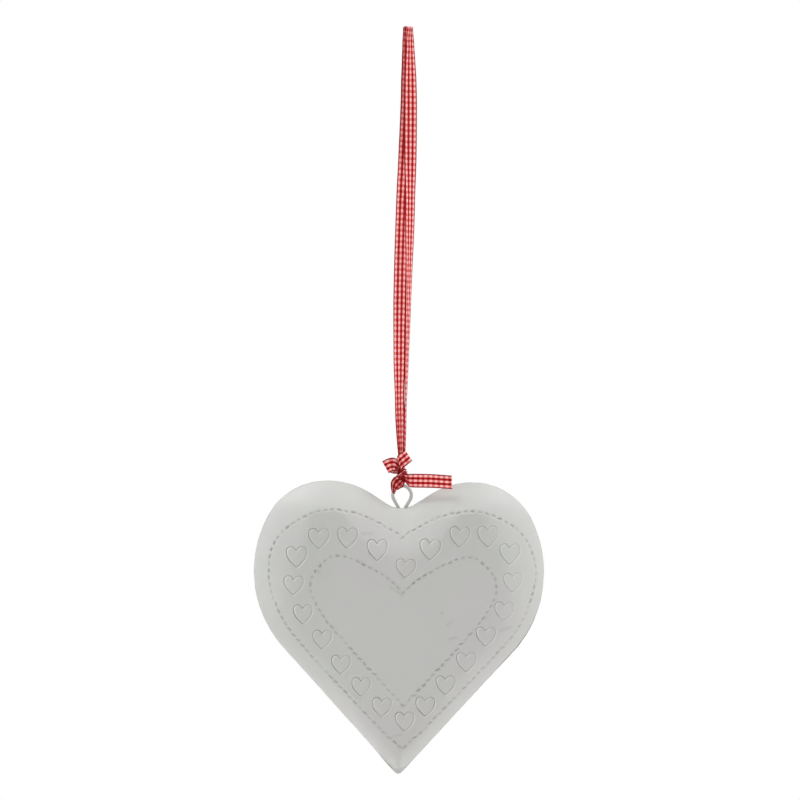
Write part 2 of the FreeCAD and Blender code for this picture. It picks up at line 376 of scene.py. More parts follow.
def threadUp(bm, rows, frayed=False, shade=0.0):
    # rows hold centre, across, normal, width share, gather height and bow of the section
    form = clothForm
    column = bm.verts.layers.float.new("column")
    tuck = bm.verts.layers.float.new("tuck")
    travel = bm.verts.layers.float.new("travel")
    start = bm.verts.new((0, 0, 0))
    start[column] = -0.5
    verts = [start]
    for place in range(form["columns"]):
        made = bmesh.ops.extrude_vert_indiv(bm, verts=[verts[-1]])["verts"][0]
        made[column] = (place + 1) / form["columns"] - 0.5
        verts.append(made)
    edges = list(bm.edges)
    travelled = 0.0
    for number, (centre, across, normal, share, gather, bow) in enumerate(rows):
        if number:
            verts, edges = extrudeEdges(bm, edges)
            travelled += (centre - rows[number - 1][0]).length
        last = frayed and number == len(rows) - 1
        for vert in verts:
            side = vert[column]
            fold = math.cos(2 * math.pi * form["foldCount"] * (side + 0.5) + form["foldPhase"])
            lift = gather * fold + bow * (0.25 - side * side) * 4
            vert.co = centre + across * (side * share * form["width"]) + normal * lift
            vert[travel] = travelled
            # painted shade in the valleys of the gathers, at least the strip's shade
            vert[tuck] = max(min(gather * form["foldShadeScale"], 1) * (0.5 - 0.5 * fold), shade)
            if last:
                ragged = noise.noise(Vector((side * 9.0, 3.1, travelled)))
                vert.co += (centre - rows[number - 1][0]).normalized() * ragged * form["fray"]
    uv = bm.loops.layers.uv.new("ribbon")
    for face in bm.faces:
        for loop in face.loops:
            loop[uv].uv = ((loop.vert[column] + 0.5) * form["width"], loop.vert[travel])


def thicken(piece):
    cloth = piece.modifiers.new("cloth", "SOLIDIFY")
    cloth.thickness = clothForm["thickness"] * mm
    cloth.offset = 0.0
    return piece


# The hanging loop, one free run of ribbon from the knot over the hook and back to the knot.
# Its route, in millimetres, goes up the right strand and down the left one.
hangingLoop = {
    "route": [(0.4, 0, -197), (0.85, 0, -186.7), (1.1, 0, -166.54), (1.8, 0, -122.1),
              (2.0, -1.02, -77.29), (1.8, -1.2, -59.37), (1.66, -1.2, -32.67), (0.9, -1.29, -1.4),
              (0.9, -1.29, 0.175), (-0.9, 1.29, 0.175), (-0.9, 1.29, -1.4), (0.18, 1.5, -32.67),
              (-0.6, 1.5, -59.37), (-1.5, 1.2, -77.29), (-2.3, 0.6, -122.1), (-1.75, 0.1, -166.54),
              (-0.85, 0.1, -186.7), (-0.35, 0, -197)],
    "frontYaws": [(0, 35), (-1.4, 36), (-10.0, 40), (-20.0, 32), (-32.7, 22), (-59.4, 27),
                  (-77.3, 45), (-122.1, 68), (-166.5, 82), (-186.7, 84), (-197, 84)],
    "backYaws": [(0, 35), (-1.4, 36), (-10.0, 40), (-30.0, 26), (-48.0, 2), (-66.0, -16),
                 (-90.0, -21), (-122.1, -21), (-148.0, -34), (-166.5, -50), (-186.7, -50),
                 (-197, -56)],
    "yawWaver": 5,
    "waverScale": 0.05,
    "pinchShares": [(1.0, 0.5), (-1.4, 0.52), (-7.6, 0.72), (-14.7, 0.86), (-24.0, 1.0),
                    (-300.0, 1.0)],
    "gatherFrom": -172.0,
    "gatherPower": 1.5,
    "tuckFrom": -150.0,
    "tuckOver": 25,
    "gathers": (0.38, 0.14, 0.1),  # into the knot, above it, and in the pinch over the hook
    "bows": (0.10, 0.12),
    "knotTop": -197.0,
    "knotShare": 0.48,
    "length": 0.3905,
    "twistFrom": -0.02,
    "twistTo": -0.1867,
}


def eased(table, at):
    # a value between the table's places, without a kink at any of them
    for (z0, first), (z1, second) in zip(table, table[1:]):
        if at >= z1:
            share = held((z0 - at) / (z0 - z1))
            share = share * 0.5 + share * share * (3 - 2 * share) * 0.5
            return first + (second - first) * share
    return table[-1][1]


def followRoute(points, step):
    curve = bpy.data.curves.new("route", "CURVE")
    curve.dimensions = "3D"
    spline = curve.splines.new("NURBS")
    spline.points.add(len(points) - 1)
    for point, place in zip(spline.points, points):
        point.co = (place[0] * mm, place[1] * mm, place[2] * mm, 1.0)
    spline.order_u = 3
    spline.use_endpoint_u = True
    spline.resolution_u = 40
    holder = bpy.data.objects.new("route", curve)
    scene.collection.objects.link(holder)
    bpy.context.view_layer.update()
    line = bpy.data.meshes.new_from_object(holder)
    places = [vert.co / mm for vert in line.vertices]
    bpy.data.objects.remove(holder)
    bpy.data.curves.remove(curve)
    bpy.data.meshes.remove(line)
    spaced = spacedOut(places, step)
    if (spaced[-1] - places[-1]).length > step * 0.3:
        spaced.append(places[-1])
    return spaced


def hangRibbon(setup):
    centres = followRoute(setup["route"], clothForm["step"])
    top = max(range(len(centres)), key=lambda place: centres[place].z)
    inKnot, aboveKnot, inPinch = setup["gathers"]
    rows = []
    for place, centre in enumerate(centres):
        front = place < top
        yaw = math.radians(eased(setup["frontYaws" if front else "backYaws"], centre.z))
        waver = noise.noise(Vector((centre.z * setup["waverScale"], 0 if front else 9, 0)))
        yaw += math.radians(setup["yawWaver"]) * waver
        across = Vector((math.cos(yaw), math.sin(yaw), 0))
        along = alongAt(centres, place)
        across = (across - along * across.dot(along)).normalized()
        normal = along.cross(across)
        drawn = (setup["gatherFrom"] - centre.z) / (setup["gatherFrom"] - setup["knotTop"])
        drawn = held(drawn) ** setup["gatherPower"]
        pinch = eased(setup["pinchShares"], centre.z)
        share = pinch - (1 - setup["knotShare"]) * drawn
        loose = held((setup["tuckFrom"] - centre.z) / setup["tuckOver"]) * (1 - drawn)
        gather = inKnot * drawn + aboveKnot * loose + inPinch * (1 - pinch)
        rows.append((centre, across, normal, share, gather, setup["bows"][0] + setup["bows"][1] * waver))
    bm = bmesh.new()
    threadUp(bm, rows)
    piece = makePiece("ribbonLoop", bm, ribbonCloth, None, ["hanging_loop", "strand_ends"])
    thicken(piece)
    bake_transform(piece, "loop", "tie", start=(0, 0, setup["twistFrom"]), end=(0, 0, setup["twistTo"]))
    return piece, [list(centre * mm) for centre in centres]


ribbonLoop, ribbonLine = hangRibbon(hangingLoop)
print("stage: hanging loop")


# Strips of the knot: x, y and z from the knot's middle in ribbon widths, lean, yaw, width share,
# gather and bow. Lean tips the top of the width to the left, yaw turns the run from right to back.
knotMiddle = Vector((0, 0, -200.15))
bowLoopForm = {
    "front": [(-0.04, -0.34, 0.42, -35, 180, 0.3, 0.55, 0.0),
              (-0.28, -0.48, 0.6, -22, 180, 0.6, 0.35, 0.1),
              (-0.5, -0.58, 0.74, -12, 180, 0.92, 0.1, 0.25),
              (-0.74, -0.63, 0.79, 2, 180, 1, 0.0, 0.25),
              (-0.98, -0.63, 0.72, 20, 180, 1, 0.0, 0.15),
              (-1.12, -0.61, 0.64, 30, 180, 1, 0.0, 0.05)],
    "turns": [30, 60, 90, 120, 150],
    "foldDrop": 0.5,
    "back": [(-1.08, -0.35, 0.6, 28, 0, 1, 0.0, 0.0), (-0.75, -0.27, 0.56, 12, 0, 0.95, 0.03, 0.1),
             (-0.35, -0.22, 0.42, 2, 0, 0.66, 0.2, 0.0), (0.0, -0.15, 0.22, 0, 0, 0.34, 0.4, 0.0)],
}
shortTailForm = [(0.0, -0.38, 0.25, 4, 0, 0.34, 0.5, 0.0), (-0.14, -0.56, 0.55, 12, 0, 0.62, 0.3, 0.1),
                 (-0.2, -0.76, 0.9, 24, 0, 0.96, 0.1, 0.25), (0.1, -0.82, 1.19, 30, 0, 1, 0.02, 0.2),
                 (0.45, -0.86, 1.48, 34, 0, 0.96, 0.0, 0.15)]
longTailForm = [(0.1, -0.36, -0.05, 0, -65, 0.32, 0.5, 0.0), (0.3, -0.45, -0.26, 0, -50, 0.62, 0.3, 0.1),
                (0.52, -0.58, -0.38, 0, -38, 0.95, 0.1, 0.25), (0.9, -0.78, -0.4, 0, -30, 1.02, 0.02, 0.25),
                (2.2, -1.4, -0.4, 0, -22, 1.02, 0.0, 0.12), (3.68, -1.84, -0.47, 3, -15, 1, 0.0, 0.1)]


def between(rows, at):
    # an even curve through the rows, at a place counted in rows
    base = min(int(at), len(rows) - 2)
    t = at - base
    p0, p1 = rows[max(base - 1, 0)], rows[base]
    p2, p3 = rows[base + 1], rows[min(base + 2, len(rows) - 1)]
    found = []
    for a, b, c, d in zip(p0, p1, p2, p3):
        found.append(b + 0.5 * t * (c - a + t * (2 * a - 5 * b + 4 * c - d + t * (3 * (b - c) + d - a))))
    return found


def stripRows(stations, perStation=12):
    rows = []
    total = (len(stations) - 1) * perStation
    for count in range(total + 1):
        x, y, z, lean, yaw, share, gather, bow = between(stations, count / perStation)
        turn, level = math.radians(yaw), headed(lean)
        across = Vector((-level.z, 0, level.x))
        normal = Vector((0, 1, 0)) * math.cos(turn) - level * math.sin(turn)
        centre = knotMiddle + Vector((x, y, z)) * clothForm["width"]
        rows.append((centre, across, -normal, share, gather, bow))
    return rows


def bowStations(form):
    x, frontY, z, lean, frontYaw, share, gather, bow = form["front"][-1]
    backY = form["back"][0][1]
    reach = (backY - frontY) / 2
    fold = []
    for turn in form["turns"]:
        angle = math.radians(turn)
        out = reach * math.sin(angle)
        y = (frontY + backY) / 2 - reach * math.cos(angle)
        fold.append((x - out, y, z - out * form["foldDrop"], lean, frontYaw - turn, share, 0.0, 0.0))
    return form["front"] + fold + form["back"]


def layStrip(name, node, stations, frayed):
    bm = bmesh.new()
    threadUp(bm, stripRows(stations), frayed=frayed)
    return thicken(makePiece(name, bm, ribbonCloth, "tie", [node]))


bowLoop = layStrip("bowLoop", "bow_loop", bowStations(bowLoopForm), False)
shortTail = layStrip("shortTail", "short_tail", shortTailForm, True)
longTail = layStrip("longTail", "long_tail", longTailForm, True)


# The knot: crossing bands, gathered from the ribbon's full width, round a squeezed core. Each band's shade
# is painted shade over it, most on the top band
knotForm = {
    "bands": [
        {"middle": (0.1, 0.0, -1.0), "radii": (2.3, 2.0), "tilt": 44, "share": 0.46, "gather": 0.34,
         "shade": 0.15},
        {"middle": (0.0, -0.2, 0.2), "radii": (1.9, 2.25), "tilt": -40, "share": 0.42, "gather": 0.36,
         "shade": 0.05},
        {"middle": (-0.2, 0.0, 2.1), "radii": (1.6, 1.55), "tilt": 8, "share": 0.34, "gather": 0.34,
         "shade": 0.5},
    ],
    "spans": 48,
    "wobble": 0.05,
    "bow": 0.25,
    "core": (1.7, 1.5, 3.1),
}


def tieKnot(form):
    bm = bmesh.new()
    back = Vector((0, 1, 0))
    for band in form["bands"]:
        tilt = math.radians(band["tilt"])
        axis = Vector((math.sin(tilt), 0, math.cos(tilt)))
        side = Vector((math.cos(tilt), 0, -math.sin(tilt)))
        rows = []
        for span in range(form["spans"] + 1):
            angle = 2 * math.pi * span / form["spans"]
            cosine, sine = math.cos(angle), math.sin(angle)
            out = side * cosine + back * sine
            reach = band["radii"][0] * cosine * side + band["radii"][1] * sine * back
            wobble = 1 + form["wobble"] * noise.noise(Vector((cosine, sine, tilt)))
            centre = knotMiddle + Vector(band["middle"]) + reach * wobble
            rows.append((centre, axis, out, band["share"], band["gather"], form["bow"]))
        part = bmesh.new()
        threadUp(part, rows, shade=band["shade"])
        carrier = bpy.data.meshes.new("band")
        part.to_mesh(carrier)
        part.free()
        bm.from_mesh(carrier)
        bpy.data.meshes.remove(carrier)
    uv = bm.loops.layers.uv["ribbon"]
    core = bmesh.ops.create_icosphere(bm, subdivisions=4, radius=1.0)["verts"]
    bmesh.ops.scale(bm, vec=form["core"], verts=core)
    bmesh.ops.translate(bm, vec=knotMiddle, verts=core)
    for face in {face for vert in core for face in vert.link_faces}:
        for loop in face.loops:
            loop[uv].uv = (clothForm["width"] / 2 + loop.vert.co.x, -loop.vert.co.z)
    return thicken(makePiece("ribbonKnot", bm, ribbonCloth, "tie", ["knot"]))


knot = tieKnot(knotForm)


# The turn on the eye: a gathered leaf of ribbon, down in front of the wire, through and up behind.
# Each place gives its middle, the direction of its width in degrees, width share, gather and bow.
eyeTurnForm = [
    (0.3, -1.3, -201.6, 140, 0.4, 0.5, 0.0), (-0.4, -1.8, -202.3, 145, 0.7, 0.34, 0.1),
    (-1.5, -2.0, -203.2, 150, 0.98, 0.2, 0.3), (-2.5, -1.8, -204.3, 160, 0.92, 0.18, 0.35),
    (-3.1, -1.55, -205.4, 172, 0.74, 0.2, 0.3), (-3.5, -1.35, -206.4, 184, 0.52, 0.2, 0.2),
    (-3.5, -1.15, -207.2, 208, 0.4, 0.26, 0.1), (-3.1, -0.7, -207.5, 232, 0.36, 0.2, 0.1),
    (-2.85, 0.0, -207.4, 242, 0.34, 0.18, 0.1), (-3.1, 0.75, -207.1, 235, 0.36, 0.2, 0.1),
    (-3.5, 1.15, -206.5, 205, 0.42, 0.28, 0.1), (-3.2, 1.35, -205.4, 172, 0.58, 0.3, 0.2),
    (-2.3, 1.4, -204.0, 160, 0.72, 0.3, 0.2), (-1.2, 1.2, -202.8, 152, 0.62, 0.35, 0.1),
    (0.0, 0.8, -201.7, 150, 0.34, 0.5, 0.0),
]


def turnOnEye(stations, perStation=8):
    total = (len(stations) - 1) * perStation
    places = [between(stations, count / perStation) for count in range(total + 1)]
    centres = [Vector(place[:3]) for place in places]
    rows = []
    for number, (*_, heading, share, gather, bow) in enumerate(places):
        along, across = alongAt(centres, number), headed(heading)
        across = (across - along * across.dot(along)).normalized()
        rows.append((centres[number], across, along.cross(across), share, gather, bow))
    bm = bmesh.new()
    threadUp(bm, rows)
    piece = makePiece("eyeTurn", bm, ribbonCloth, None, ["eye_turn"])
    thicken(piece)
    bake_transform(piece, "tie", "turn", start=(0, 0, -0.2026), end=(0, 0, -0.2048))
    return piece


eyeTurn = turnOnEye(eyeTurnForm)
print("stage: ribbon tied")


# The heart's outline and pillow, in millimetres
heartForm = {
    "cleftZ": -215.2,
    "cleftRadius": 12.0,
    "cleftTurn": 33.0,
    "flank": 7.8,
    "lobeRadius": 35.6,
    "shoulderRadius": 29.5,
    "shoulderTurn": 61.8,
    "sideRadius": 51.5,
    "sideTurn": 70.5,
    "tipRadius": 1.8,
    "middle": (0.0, 0.0, -257.2),
    "sheet": 0.45,
    "depth": 13.0,
    "flange": 2.2,
    "seamHalf": 0.3,
    "crown": 0.58,
    "steps": {"cleft": 6, "flank": 6, "lobe": 15, "shoulder": 22, "side": 44, "edge": 40, "tip": 3},
    # widths of the rolled edge, over the lobes by distance from the middle, and lower down by height
    "upperWidths": [(0.0, 23.0), (6.5, 20.0), (13.0, 16.5), (22.0, 13.5), (43.0, 13.0),
                    (52.0, 16.5), (58.0, 19.5), (66.0, 20.0)],
    "lowerWidths": [(-245.0, 20.0), (-265.0, 18.5), (-285.0, 16.5), (-302.0, 12.5),
                    (-314.0, 7.5), (-334.0, 4.5)],
    "lowerOver": 25,
    "rolls": (1.3, 2.1),
    "rim": (0.18, 5.0),
    "depthShares": (0.92, 0.08),  # by distance from the edge, and by ring
    "tipZ": -303.0,
    "tipOver": 8,
    "tipSoft": 2.6,
    "tipSlope": 1.48,
    "smoothings": (4, 30),  # everywhere, and at the tip
    "lean": {"foot": -333, "rise": 80, "reach": 50, "shift": -0.35, "lobeShift": -0.6},
}


class Pen:
    # draws a chain of edges in the plane of the heart, with extrusions and spins
    def __init__(self, bm, x, y, z):
        self.bm = bm
        self.tip = bm.verts.new((x, y, z))
        self.heading = 0.0

    def ahead(self, turn=0.0):
        return headed(self.heading + turn)

    def straight(self, length, steps):
        for _ in range(steps):
            before = self.tip
            self.tip = bmesh.ops.extrude_vert_indiv(self.bm, verts=[before])["verts"][0]
            self.tip.co = before.co + self.ahead() * (length / steps)

    def arc(self, radius, turn, steps):
        centre = self.tip.co + self.ahead(math.copysign(90, turn)) * radius
        made = spinOn(self.bm, [self.tip], centre, turn, steps)
        self.tip = [item for item in made if isinstance(item, bmesh.types.BMVert)][0]
        self.heading += turn


def drawHeart(bm, inset, y):
    # a closed loop of edges, moved inwards by the inset
    form, steps = heartForm, heartForm["steps"]
    tipTurn = 180 - form["shoulderTurn"] - form["sideTurn"]
    known = set(bm.edges) | set(bm.verts)
    pen = Pen(bm, 0, y, form["cleftZ"] - inset)
    pen.arc(form["cleftRadius"] + inset, form["cleftTurn"], steps["cleft"])
    pen.straight(form["flank"], steps["flank"])
    pen.arc(form["lobeRadius"] - inset, -form["cleftTurn"], steps["lobe"])
    for part in ("shoulder", "side"):
        pen.arc(form[part + "Radius"] - inset, -form[part + "Turn"], steps[part])
    tipCentre = pen.tip.co + pen.ahead(-90) * (form["tipRadius"] - inset)
    pen.straight(-tipCentre.x / pen.ahead().x, steps["edge"])
    pen.arc(form["tipRadius"] - inset, -tipTurn, steps["tip"])
    pen.tip.co.x = 0
    half = [item for item in list(bm.edges) + list(bm.verts) if item not in known]
    bmesh.ops.mirror(bm, geom=half, matrix=Matrix.Identity(4), merge_dist=0.001, axis="X")
    return [edge for edge in bm.edges if edge not in known]


def shrink(bm, loop, ratio, dy):
    # one more loop, drawn in towards the heart's middle and moved by dy
    verts, edges = extrudeEdges(bm, loop)
    space = Matrix.Translation(-Vector(heartForm["middle"]))
    bmesh.ops.scale(bm, vec=(ratio, 1, ratio), space=space, verts=verts)
    bmesh.ops.translate(bm, vec=(0, dy, 0), verts=verts)
    return edges


def treeOf(places):
    tree = kdtree.KDTree(len(places))
    for number, place in enumerate(places):
        tree.insert(place, number)
    tree.balance()
    return tree


def edgeTree(loop):
    # places along the outline, to measure how far inside it a place lies
    places = []
    for edge in loop:
        a, b = edge.verts[0].co, edge.verts[1].co
        places += [a.lerp(b, part / 4) for part in range(4)]
    return treeOf([(place.x, 0, place.z) for place in places])


def measured(table, at):
    # the table's value at a place, in straight runs
    for (first, low), (second, high) in zip(table, table[1:]):
        if (at - first) * (at - second) <= 0:
            return low + (high - low) * (at - first) / (second - first)
    return table[-1][1]


def pillowDepth(form, tree, place, ring):
    # the edge rolls over in a width that changes round the heart; ring is a share of the outline's size
    edge, _, inside = tree.find((place.x, 0, place.z))
    if edge.z < form["tipZ"]:
        soft = form["tipSoft"] * min((form["tipZ"] - edge.z) / form["tipOver"], 1)
        crease = math.log(1 + math.exp(-form["tipSlope"] * abs(place.x) / max(soft, 0.01)))
        inside = max(inside - soft * crease, 0)
    low = held((form["lowerWidths"][0][0] - edge.z) / form["lowerOver"])
    if low:
        width = measured(form["lowerWidths"], edge.z)
    else:
        width = measured(form["upperWidths"], min(abs(edge.x), form["upperWidths"][-1][0]))
    roll = form["rolls"][0] + (form["rolls"][1] - form["rolls"][0]) * low
    left = 1 - min(inside / width, 1)
    share, sharp = form["rim"]
    byEdge = (1 - share) * (1 - left ** roll) + share * (1 - left ** sharp)
    byRing = math.sin(math.acos(held((ring - form["crown"]) / (1 - form["crown"]))))
    return form["depthShares"][0] * byEdge + form["depthShares"][1] * byRing


def markRing(loop, layer, size):
    for edge in loop:
        for vert in edge.verts:
            vert[layer] = size


def shellSide(bm, form, inset, rings, crownRings, deepest):
    # one surface of the pillow, from the seam to its middle; gives its rim
    known = set(bm.verts)
    rim = loop = drawHeart(bm, inset, -form["seamHalf"])
    tree = edgeTree(loop)
    ringLayer = bm.verts.layers.float["ring"]
    markRing(loop, ringLayer, 2.0)
    for _ in range(2):
        loop = shrink(bm, loop, 1.0, -(form["flange"] - form["seamHalf"]) / 2)
    markRing(loop, ringLayer, 1.0)
    crown = form["crown"]
    sizes = [crown + (1 - crown) * math.cos(math.pi / 2 * (ring + 1) / rings) for ring in range(rings)]
    sizes += [crown * (1 - (ring + 1) / crownRings) for ring in range(crownRings - 1)]
    before = 1.0
    for size in sizes:
        loop = shrink(bm, loop, size / before, 0.0)
        markRing(loop, ringLayer, size)
        before = size
    middle = bm.verts.new(Vector(form["middle"]))
    for edge in loop:
        bm.faces.new((edge.verts[0], edge.verts[1], middle))
    middle[ringLayer] = 0.0
    moved = [vert for vert in bm.verts if vert not in known and vert[ringLayer] <= 1.0]
    for vert in moved:
        depth = (deepest - form["flange"]) * pillowDepth(form, tree, vert.co, vert[ringLayer])
        vert.co.y = -form["flange"] - depth
    inner = [vert for vert in moved if vert[ringLayer] < 0.97]
    tip = [vert for vert in inner if vert.co.z < form["tipZ"]]
    for some, rounds in zip((inner, tip), form["smoothings"]):
        for _ in range(rounds):
            bmesh.ops.smooth_vert(bm, verts=some, factor=0.5,
                                  use_axis_x=False, use_axis_y=True, use_axis_z=False)
    return rim


# The pattern pressed into the front: two stitched hearts and a round of small hearts
pressedForm = {
    "outerStitch": [(0.0, -228.1), (2.6, -226.1), (7.6, -223.4), (12.9, -220.4), (18.3, -218.2),
                    (24.3, -216.7), (31.0, -216.0), (37.5, -216.9), (43.6, -219.2), (49.2, -222.5),
                    (54.1, -227.0), (57.5, -233.0), (59.1, -240.0), (59.2, -245.0), (58.2, -251.5),
                    (56.2, -257.8), (53.6, -263.6), (49.8, -269.8), (41.5, -279.4), (30.0, -291.8),
                    (18.0, -304.2), (8.0, -314.3), (0.6, -321.1)],
    "outerMiddle": (0.3, 1.5),
    "innerStitch": [(0.0, -252.3), (3.8, -248.6), (7.2, -245.9), (10.0, -244.2), (15.4, -241.2),
                    (18.6, -239.6), (22.0, -237.9), (26.8, -236.5), (31.5, -236.7), (35.0, -238.8),
                    (38.0, -241.5), (40.4, -245.4), (41.3, -249.4), (40.7, -253.6), (39.2, -257.2),
                    (37.4, -260.2), (34.2, -265.2), (24.0, -276.8), (12.0, -289.9), (0.3, -302.2)],
    "innerMiddle": (1.1, 1.8),
    "stitchPitch": 3.1,
    "stitchWidth": 0.4,
    "stitchStrengths": (0.5, 1.4),
    "stitchLengths": (0.7, 1.25),
    "stitchSway": 0.14,
    "stray": 0.16,
    "dot": 1.0,
    "dash": 1.3,
    "dashFrom": 0.25,  # shares of the way down
    "dashOver": 0.2,
    "flatter": 13.0,
    "smallHearts": [(2.0, -242.1), (12.8, -233.1), (25.9, -227.3), (38.4, -227.0), (48.2, -234.7),
                    (49.6, -247.8), (46.0, -260.6), (38.0, -271.9), (29.5, -283.4), (20.4, -293.7),
                    (11.5, -303.3), (2.4, -310.1), (-7.8, -303.9), (-17.1, -294.9), (-26.2, -285.1),
                    (-34.7, -274.1), (-43.4, -263.0), (-47.7, -250.2), (-46.5, -237.1),
                    (-36.7, -228.8), (-24.1, -228.4), (-10.7, -233.6)],
    # right half of a small heart from its cleft: heading, radius, and length or turn
    "heartWalk": [(52, 0, 1.3), (52, 2.25, -142), (-90, 6.5, -45)],
    "heartCleft": 2.96,
    "heartSway": 3,
    "heartSizes": (0.98, 1.02),
    "heartStrengths": (0.75, 1.05),
    "heartUneven": (0.6, 0.35),  # strength and scale
    # the small hearts' left sides are pressed deeper and carry more painted shade
    "leftDeeperAndShaded": 0.2,
    "upperScales": (0.93, 0.96),
    "lowerScales": (0.87, 0.88),
    "lowerFrom": -240.0,
    "lowerRise": 0.45,
    "strayMarks": [((-17.2, -226.6), (-13.6, -226.5)), ((44.5, -268.6), (49.0, -267.1)),
                   ((22.2, -272.6), (24.9, -271.9)), ((18.1, -261.0), (18.6, -261.6)),
                   ((21.0, -266.4), (23.0, -265.0)), ((-4.5, -250.0), (0.5, -253.6)),
                   ((-0.3, -328.0), (-0.3, -328.9)), ((-2.6, -315.9), (0.8, -315.4)),
                   ((-7.4, -324.6), (-5.7, -326.8)), ((-4.8, -328.2), (-1.8, -331.3)),
                   ((-1.3, -331.8), (1.6, -331.0))],
    "strayStrength": 0.4,
    "strayWidth": 0.6,
    "grooveDepth": 0.26,
    "grooveWidth": 0.17,
    "ridge": 0.085,
    "ridgeAt": 2.6,  # in groove widths
    # painted highlight on the lips to the lower right of the small hearts' lines
    "highlightAt": 2.3,
    "lipWidth": 1.1,
    "highlightSide": (0.87, 0.0, -0.5),
    "highlightShare": 0.9,
    "sampleStep": 0.12,
    "reach": 1.6,
    "frontFrom": -3.0,
    "refine": [1.5, 1.0, 0.58],
}


def leanAt(place):
    # the real heart is a little fuller on its left lobe
    lean = heartForm["lean"]
    height = held((place.z - lean["foot"]) / lean["rise"])
    side = min(abs(place.x) / lean["reach"], 1)
    return Vector((lean["shift"] * height + lean["lobeShift"] * side * height, 0, 0))


def smoothLine(points, spacing):
    # a smooth line through the points, in places of even spacing
    fine = []
    for count in range((len(points) - 1) * 30 + 1):
        x, z = between(points, count / 30)
        fine.append(Vector((x, 0, z)))
    return spacedOut(fine, spacing)


def stitchMarks(points, middle, form):
    # dots over the lobes and short dashes down the straight sides, on both halves
    marks = []
    top, foot = points[0][1], points[-1][1]
    for side in (-1, 1):
        places = smoothLine(points, form["stitchPitch"])
        for number, place in enumerate(places):
            if side < 0 and number == 0:
                continue
            down = (top - place.z) / (top - foot)
            centreX = middle[0] + (middle[1] - middle[0]) * max(down, 0)
            along = alongAt(places, number)
            straight = held((down - form["dashFrom"]) / form["dashOver"])
            length = form["dot"] + (form["dash"] - form["dot"]) * straight
            length *= random.uniform(*form["stitchLengths"])
            spot = Vector((centreX + side * place.x, 0, place.z))
            spot += Vector((random.uniform(-1, 1), 0, random.uniform(-1, 1))) * form["stray"]
            sway = random.gauss(0, form["stitchSway"]) + side * math.radians(form["flatter"]) * straight
            lean = Matrix.Rotation(sway, 3, "Y")
            along = lean @ Vector((side * along.x, 0, along.z)) * (length / 2)
            strength = random.uniform(*form["stitchStrengths"])
            marks.append((spot - along, spot + along, strength, form["stitchWidth"]))
    return marks


def smallHeart(form):
    x, z = 0.0, form["heartCleft"]
    places = [(x, z)]
    for heading, radius, amount in form["heartWalk"]:
        if not radius:
            x += math.cos(math.radians(heading)) * amount
            z += math.sin(math.radians(heading)) * amount
            places.append((x, z))
            continue
        side = math.radians(heading - 90)
        cx, cz = x + math.cos(side) * radius, z + math.sin(side) * radius
        steps = max(int(abs(amount) / 8), 3)
        for step in range(1, steps + 1):
            angle = side + math.pi + math.radians(amount) * step / steps
            places.append((cx + math.cos(angle) * radius, cz + math.sin(angle) * radius))
        x, z = places[-1]
    places += [(0.6, z - x + 0.6), (0.0, z - x + 0.35)]
    right = [Vector((x, 0, z)) for x, z in places]
    left = [Vector((-place.x, 0, place.z)) for place in reversed(right[1:-1])]
    return right + left + right[:1]


def pressedLines(form):
    # short straight runs, each with its strength and width
    lines = stitchMarks(form["outerStitch"], form["outerMiddle"], form)
    lines += stitchMarks(form["innerStitch"], form["innerMiddle"], form)
    outline = smallHeart(form)
    for x, z in form["smallHearts"]:
        lean = Matrix.Rotation(math.radians(random.uniform(-form["heartSway"], form["heartSway"])), 3, "Y")
        lower = z < form["lowerFrom"]
        wide, tall = [scale * random.uniform(*form["heartSizes"])
                      for scale in form["lowerScales" if lower else "upperScales"]]
        z += form["lowerRise"] * lower
        strength = random.uniform(*form["heartStrengths"])
        placed = [Vector((x, 0, z)) + lean @ Vector((p.x * wide, 0, p.z * tall)) for p in outline]
        for a, b in zip(placed, placed[1:]):
            uneven = 1 + form["heartUneven"][0] * noise.noise(a * form["heartUneven"][1])
            uneven -= form["leftDeeperAndShaded"] * math.copysign(1, (a.x + b.x) / 2 - x)
            lines.append((a, b, strength * uneven, form["grooveWidth"]))
    for (x0, z0), (x1, z1) in form["strayMarks"]:
        lines.append((Vector((x0, 0, z0)), Vector((x1, 0, z1)), form["strayStrength"], form["strayWidth"]))
    return lines


def refineNear(bm, tree, form):
    # finer faces near the pattern, on the outside of the front
    ring = bm.verts.layers.float["ring"]
    for reach in form["refine"]:
        close = []
        for face in bm.faces:
            centre = face.calc_center_median()
            if face.verts[0][ring] < 0.98 and centre.y < form["frontFrom"]:
                if tree.find((centre.x, 0, centre.z))[2] < reach:
                    close.append(face)
        edges = list({edge for face in close for edge in face.edges})
        bmesh.ops.subdivide_edges(bm, edges=edges, cuts=1, use_grid_fill=True)


def lipAt(distance, width, place, form):
    return math.exp(-((distance - place * width) / (form["lipWidth"] * width)) ** 2)


